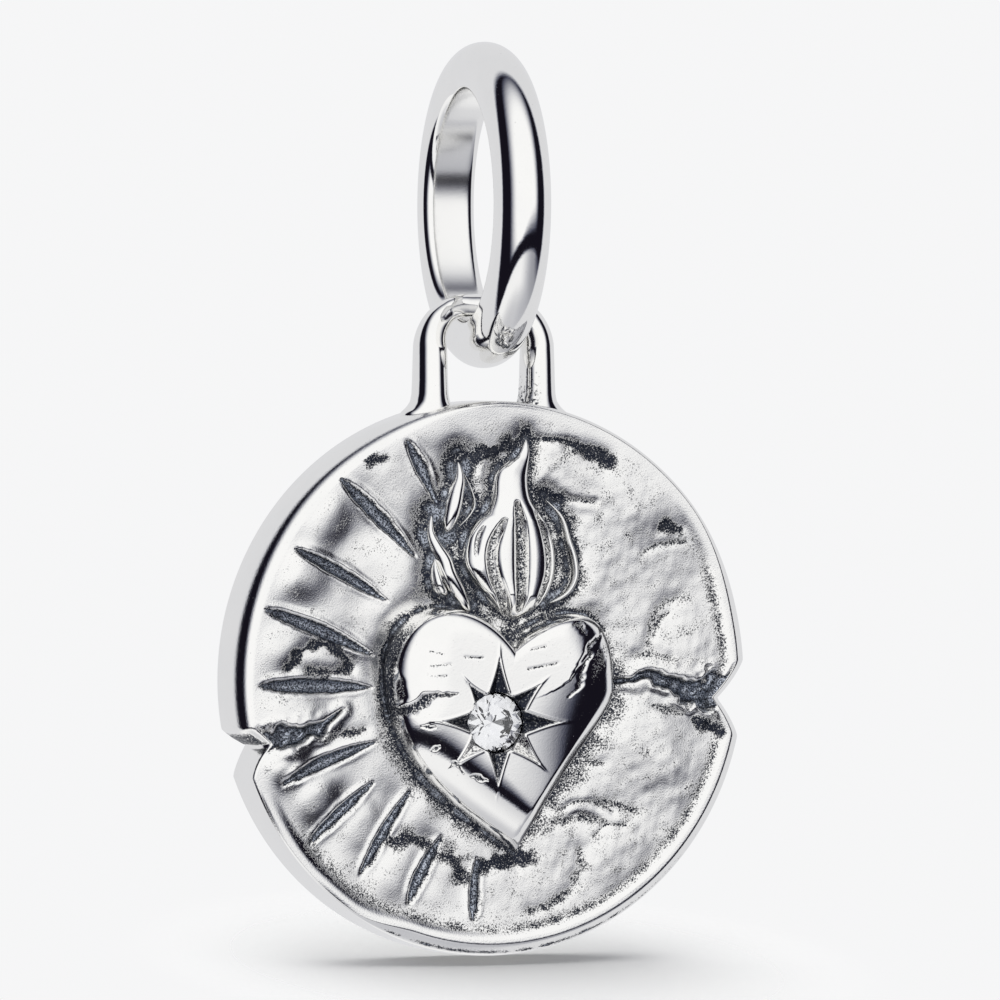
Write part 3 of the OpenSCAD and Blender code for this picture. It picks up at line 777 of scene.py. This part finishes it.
# cut clear crystal: colourless, with strong bending of light that throws black and white facets
gem = bpy.data.materials.new("cut_clear_crystal")
gem.use_nodes = True
tree = gem.node_tree
shader = tree.nodes["Principled BSDF"]
place = put(tree, "ShaderNodeTexCoord").outputs["Object"]
cloud = put(tree, "ShaderNodeTexNoise", {
    "Vector": place, "Scale": 1 / (CLOUD_MM * MM), "Detail": 2,
}).outputs["Fac"]
water = put(tree, "ShaderNodeMix", {
    "Factor": cloud, "A": srgb("#f4f6fb"), "B": srgb("#ffffff"),
}, data_type="RGBA").outputs["Result"]
tree.links.new(water, shader.inputs["Base Color"])
shader.inputs["Transmission Weight"].default_value = 1
shader.inputs["IOR"].default_value = 1.95
shader.inputs["Roughness"].default_value = 0.0
stone.data.materials.clear()
stone.data.materials.append(gem)


# Studio. A pale floor just under the medallion, which rises evenly to the back and fades into a pale
# backdrop, a soft overhead lamp, and a white tent with dark flags at both sides and below eye level, which
# the silver mirrors. The camera stands to the left of the face and nearly level with it.
FLOOR_Z = -16.12
FLOOR_TILT = 0.16
FLOOR_SIZE = 120
FADE_FROM, FADE_TO = 1, 8.5
SHADOW_RIGHT = 0.5
LAMP_SIZE = 300
LAMP_PLACE = -10, 0, 250
LAMP_POWER = 0.78
FLOOR_LIGHT = 0.25
BACKDROP = 0.922
CAMERA_AWAY = 250
CAMERA_RISE = math.radians(0.8)
SENSOR_WIDTH = 36
VIEW_WIDTH = 21.46
AIM_RIGHT, AIM_Z = 0.354, -6.33
view_turn = math.radians(23)
to_camera = Vector((-math.sin(view_turn), -math.cos(view_turn), 0))
to_right = Vector((math.cos(view_turn), -math.sin(view_turn), 0))
bpy.ops.object.select_all(action="DESELECT")
bpy.ops.mesh.primitive_grid_add(x_subdivisions=120, y_subdivisions=120, size=FLOOR_SIZE * MM)
floor = bpy.context.object
floor.name = floor.data.name = "floor"
for vert in floor.data.vertices:
    vert.co.z = FLOOR_Z * MM + FLOOR_TILT * (vert.co.y - HALF * MM)
paper = bpy.data.materials.new("pale_floor_paper")
paper.use_nodes = True
tree = paper.node_tree
shader = tree.nodes["Principled BSDF"]
place = put(tree, "ShaderNodeTexCoord").outputs["Object"]
level = put(tree, "ShaderNodeVectorMath", {
    0: place, 1: (1, 1, 0), 2: to_right * -SHADOW_RIGHT * MM,
}, operation="MULTIPLY_ADD").outputs[0]
far = put(tree, "ShaderNodeVectorMath", {0: level}, operation="LENGTH").outputs["Value"]
fade = put(tree, "ShaderNodeMapRange", {
    "Value": far, "From Min": FADE_FROM * MM, "From Max": FADE_TO * MM,
}, interpolation_type="SMOOTHSTEP").outputs[0]
shader.inputs["Base Color"].default_value = srgb("#f4f4f1")
shader.inputs["Roughness"].default_value = 0.9
shader.inputs["Specular IOR Level"].default_value = 0
clear = put(tree, "ShaderNodeBsdfTransparent").outputs[0]
mixed = put(tree, "ShaderNodeMixShader", {0: fade, 1: shader.outputs[0], 2: clear}).outputs[0]
tree.links.new(mixed, tree.nodes["Material Output"].inputs["Surface"])
floor.data.materials.append(paper)
floor.visible_glossy = False
floor.visible_transmission = False

bpy.ops.object.light_add(type="AREA", location=Vector(LAMP_PLACE) * MM)
lamp = bpy.context.object
lamp.name = "overhead_softbox"
lamp.rotation_euler = (Vector((0, 0, FLOOR_Z * MM)) - lamp.location).to_track_quat("-Z", "Y").to_euler()
lamp.data.shape = "RECTANGLE"
lamp.data.size = lamp.data.size_y = LAMP_SIZE * MM
lamp.data.energy = LAMP_POWER
lamp.visible_glossy = False
lamp.visible_transmission = False

world = bpy.data.worlds.new("white_tent")
bpy.context.scene.world = world
world.use_nodes = True
tree = world.node_tree
ray = put(tree, "ShaderNodeTexCoord").outputs["Generated"]
tent = {"height": put(tree, "ShaderNodeSeparateXYZ", {0: ray}).outputs["Z"]}
for name, way in (("ahead", to_camera), ("aside", to_right)):
    node = put(tree, "ShaderNodeVectorMath", {0: ray, 1: way}, operation="DOT_PRODUCT")
    tent[name] = node.outputs["Value"]
# brightness of the tent in each direction, step by step: name, operation, what it takes
steps = [
    # in front: white from just below eye level up, under it a narrow dark flag that hangs lower at the left
    ("rightward", "MAXIMUM", "aside", 0),
    ("tilted", "MULTIPLY_ADD", "aside", -0.15, "height"),
    ("white_from", "MULTIPLY_ADD", "rightward", 0.39, -0.36),
    ("front", "RAMP", "tilted", -0.44, "white_from", 0, 1),
    # dark flags at both sides fade softly to the front, sharply to the back, and close to a line overhead
    ("lifted", "MAXIMUM", "height", 0),
    ("lifted", "POWER", "lifted", 2),
    ("leftward", "MULTIPLY", "aside", -0.18),
    ("leftward", "MAXIMUM", "leftward", 0),
    ("dark_to", "MULTIPLY_ADD", "lifted", -0.66, "leftward"),
    ("dark_to", "ADD", "dark_to", 0.39),
    ("bright_from", "MULTIPLY_ADD", "aside", -0.2, 0.84),
    ("bright_from", "MULTIPLY_ADD", "lifted", -0.5, "bright_from"),
    ("sides", "RAMP", "ahead", "dark_to", "bright_from", 0, 1),
    ("front", "MULTIPLY", "front", "sides"),
    ("behind", "MULTIPLY_ADD", "lifted", 0.1, "ahead"),
    ("behind", "RAMP", "behind", -0.04, -0.2, 0, 0.74),
    # the table below: pale in front, greyer straight down and to the right
    ("table", "RAMP", "height", -1, -0.8, 0.6, 0.93),
    ("greyer", "RAMP", "rightward", 0, 0.8, 1, 0.35),
    ("outward", "ABSOLUTE", "aside"),
    ("inner", "RAMP", "outward", 0.75, 0.92, 1, 0),
    ("under", "RAMP", "tilted", -0.62, -0.56, 1, 0),
    ("table", "MULTIPLY", "table", "greyer"),
    ("table", "MULTIPLY", "table", "inner"),
    ("table", "MULTIPLY", "table", "under"),
    ("all", "ADD", "front", "behind"),
    ("all", "MAXIMUM", "all", "table"),
]
ramp_sockets = ("Value", "From Min", "From Max", "To Min", "To Max")
for name, operation, *taken in steps:
    taken = [tent.get(value, value) for value in taken]
    if operation == "RAMP":
        ramp = dict(zip(ramp_sockets, taken))
        node = put(tree, "ShaderNodeMapRange", ramp, interpolation_type="SMOOTHSTEP")
    else:
        node = put(tree, "ShaderNodeMath", dict(enumerate(taken)), operation=operation)
    tent[name] = node.outputs[0]
# the floor is lit evenly, and the camera sees a plain backdrop
path = put(tree, "ShaderNodeLightPath")
dim = put(tree, "ShaderNodeMix", {
    "Factor": path.outputs["Is Diffuse Ray"], "A": tent["all"], "B": FLOOR_LIGHT,
}).outputs["Result"]
shown = put(tree, "ShaderNodeMix", {
    "Factor": path.outputs["Is Camera Ray"], "A": dim, "B": BACKDROP,
}).outputs["Result"]
tones = put(tree, "ShaderNodeValToRGB", {0: shown})
for place_at, tone in ((0.08, "#4d4f5e"), (0.5, "#babbc1")):
    tones.color_ramp.elements.new(place_at).color = srgb(tone)
tones.color_ramp.elements[0].color = srgb("#15131c")
tones.color_ramp.elements[-1].color = srgb("#ffffff")
tree.links.new(tones.outputs["Color"], tree.nodes["Background"].inputs["Color"])
bpy.context.scene.view_settings.view_transform = "Standard"

aim = (to_right * AIM_RIGHT + Vector((0, 0, AIM_Z))) * MM
sight = to_camera * math.cos(CAMERA_RISE) + Vector((0, 0, math.sin(CAMERA_RISE)))
bpy.ops.object.camera_add()
camera = bpy.context.object
camera.location = aim + sight * CAMERA_AWAY * MM
camera.rotation_euler = (aim - camera.location).to_track_quat("-Z", "Y").to_euler()
camera.data.sensor_width = SENSOR_WIDTH
camera.data.lens = SENSOR_WIDTH * CAMERA_AWAY / VIEW_WIDTH
camera.data.clip_start = 0.01
bpy.context.scene.camera = camera
